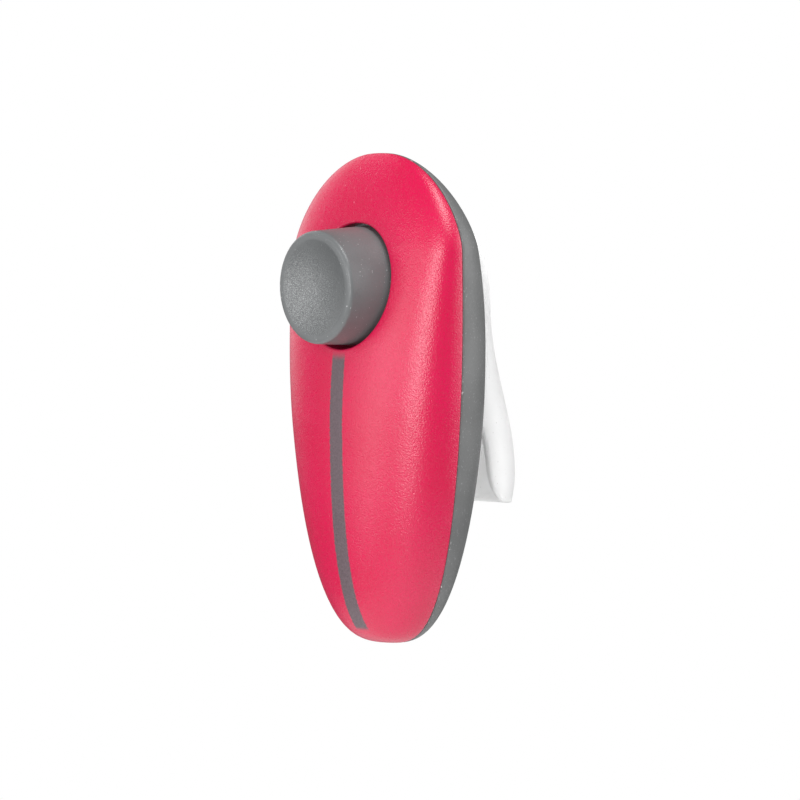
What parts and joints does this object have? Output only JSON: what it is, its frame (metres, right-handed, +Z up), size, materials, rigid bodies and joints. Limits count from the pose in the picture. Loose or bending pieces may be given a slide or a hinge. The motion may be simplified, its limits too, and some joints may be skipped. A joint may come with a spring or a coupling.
{
  "type": "clicker trainer",
  "caption": "Hand-held pet training clicker: egg-shaped two-shell body, dished thumb button over a snapping steel blade, and an elastic finger loop on the back.",
  "frame": {"origin": "middle of the body's length and width, on the seam between the front cover and the rear case", "axes": "+Z up the long axis to the button end, -Y out of the thumb button's face, +Y to the finger loop, X across the width"},
  "size_m": [0.0332, 0.0322, 0.066],
  "materials": {
    "cover_plastic": "soft-touch crimson pink with a fine sparkle, a grey printed line down its ridge",
    "case_plastic": "satin mid-grey, moulded",
    "button_rubber": "fine-textured grey, soft touch",
    "acetal": "natural white acetal",
    "spring_wire": "drawn spring wire",
    "frame_plastic": "black moulded plastic",
    "spring_steel": "rolled blued spring steel",
    "clamp_steel": "stamped steel",
    "silicone": "clear milky silicone rubber",
    "rod_steel": "drawn stainless rod",
    "screw_steel": "zinc-plated steel"
  },
  "bodies": {
    "body": {"front_cover": "cover_plastic", "rear_case": "case_plastic", "mechanism_frame": "frame_plastic", "blade_clamp": "clamp_steel", "loop_rods": "rod_steel", "loop_clamp_bars": "frame_plastic", "frame_screws": "screw_steel", "blade_clamp_screws": "screw_steel", "loop_clamp_screws": "screw_steel", "lower_case_screws": "screw_steel", "top_case_screw": "screw_steel", "return_spring": "spring_wire"},
    "button": {"button_cap": "button_rubber", "plunger": "acetal"},
    "blade": {"click_blade": "spring_steel"},
    "loop": {"finger_loop": "silicone"}
  },
  "joints": [
    {"name": "button_press", "type": "slide", "parent": "body", "child": "button", "axis": [0, 1, 0], "range_m": [0, 0.0022], "stiffness_N_per_m": 400, "springref_m": -0.003, "deforming": ["return_spring"]},
    {"name": "blade_flex", "type": "hinge", "parent": "body", "child": "blade", "pos_m": [0, 0.0029, -0.005], "axis": [-1, 0, 0], "range_deg": [0, 7.5], "deforming": ["click_blade"]},
    {"name": "loop_stretch", "type": "slide", "parent": "body", "child": "loop", "axis": [0, 1, 0], "range_m": [0, 0.004], "stiffness_N_per_m": 300, "deforming": ["finger_loop"]}
  ],
  "couplings": [
    {"joint": "blade_flex", "follows": "button_press", "rad_per_m": 49.5}
  ]
}
